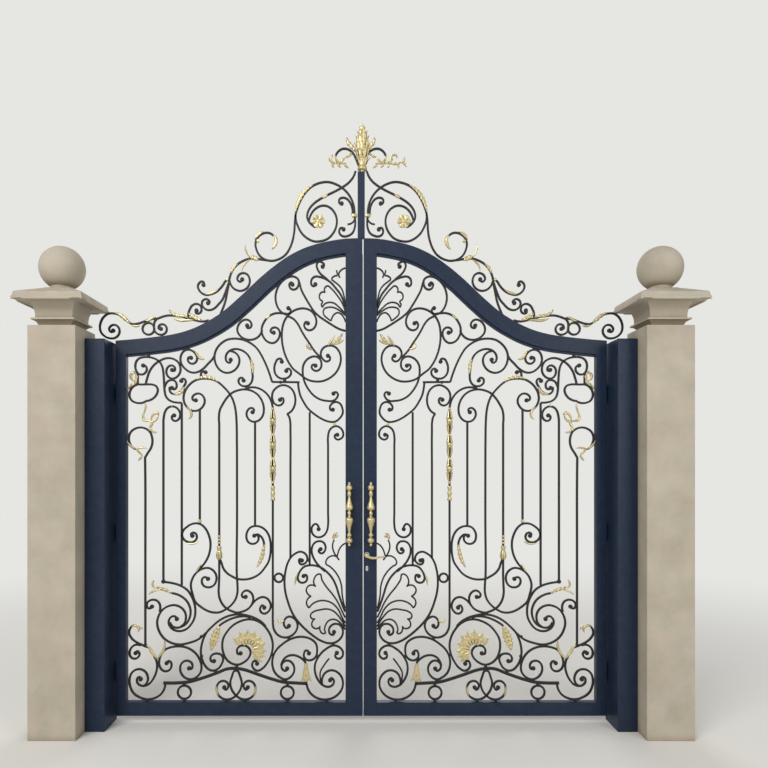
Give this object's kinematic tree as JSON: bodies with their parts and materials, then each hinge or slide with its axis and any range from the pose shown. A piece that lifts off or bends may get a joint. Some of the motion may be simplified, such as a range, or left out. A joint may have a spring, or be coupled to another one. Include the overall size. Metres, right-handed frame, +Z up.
{
  "type": "double driveway gate with piers",
  "caption": "Tall double-leaf scrollwork driveway gate with an arched, crested top, hung on steel posts between stone ball-topped piers.",
  "frame": {"origin": "middle of the left pier's foot, on the ground", "axes": "+X across the opening to the other pier, +Y inward, the way the leaves open, +Z up"},
  "size_m": [4.308, 0.446, 4.022],
  "materials": {
    "stone": "fine sawn limestone, matt",
    "dark_painted_steel": "satin slate-blue paint",
    "black_wrought_iron": "satin black paint on forged bar",
    "gilded_metal": "pale gilded"
  },
  "bodies": {
    "gateway": {"left_pier_shaft": "stone", "left_pier_cap": "stone", "left_pier_ball": "stone", "left_post": "dark_painted_steel", "left_post_hinges": "dark_painted_steel", "right_pier_shaft": "stone", "right_pier_cap": "stone", "right_pier_ball": "stone", "right_post": "dark_painted_steel", "right_post_hinges": "dark_painted_steel"},
    "left_leaf": {"left_hinge_stile": "dark_painted_steel", "left_meeting_stile": "dark_painted_steel", "left_bottom_rail": "dark_painted_steel", "left_top_rail": "dark_painted_steel", "left_arch_liner": "dark_painted_steel", "left_leaf_hinges": "dark_painted_steel", "left_lower_scrolls": "black_wrought_iron", "left_middle_bars": "black_wrought_iron", "left_upper_scrolls": "black_wrought_iron", "left_overthrow": "black_wrought_iron", "left_husks": "gilded_metal", "left_flower": "gilded_metal", "left_leaves": "gilded_metal", "left_crest_leaves": "gilded_metal", "left_pull": "gilded_metal", "centre_bar": "dark_painted_steel", "finial": "gilded_metal", "crest_hooks": "black_wrought_iron"},
    "right_leaf": {"right_hinge_stile": "dark_painted_steel", "right_meeting_stile": "dark_painted_steel", "right_bottom_rail": "dark_painted_steel", "right_top_rail": "dark_painted_steel", "right_arch_liner": "dark_painted_steel", "right_leaf_hinges": "dark_painted_steel", "right_lower_scrolls": "black_wrought_iron", "right_middle_bars": "black_wrought_iron", "right_upper_scrolls": "black_wrought_iron", "right_overthrow": "black_wrought_iron", "right_husks": "gilded_metal", "right_flower": "gilded_metal", "right_leaves": "gilded_metal", "right_crest_leaves": "gilded_metal", "right_pull": "gilded_metal", "lock_plate": "dark_painted_steel"},
    "lever_handle": {"lever": "gilded_metal"}
  },
  "joints": [
    {"name": "left_leaf_swing", "type": "hinge", "parent": "gateway", "child": "left_leaf", "pos_m": [0.284, 0.211, 0], "axis": [0, 0, 1], "range_deg": [0, 90]},
    {"name": "right_leaf_swing", "type": "hinge", "parent": "gateway", "child": "right_leaf", "pos_m": [3.586, 0.211, 0], "axis": [0, 0, -1], "range_deg": [0, 90]},
    {"name": "lever_turn", "type": "hinge", "parent": "right_leaf", "child": "lever_handle", "pos_m": [1.973, 0.143, 1.12], "axis": [0, 1, 0], "range_deg": [0, 40], "stiffness_Nm_per_rad": 1.2, "springref_deg": -34.38}
  ]
}
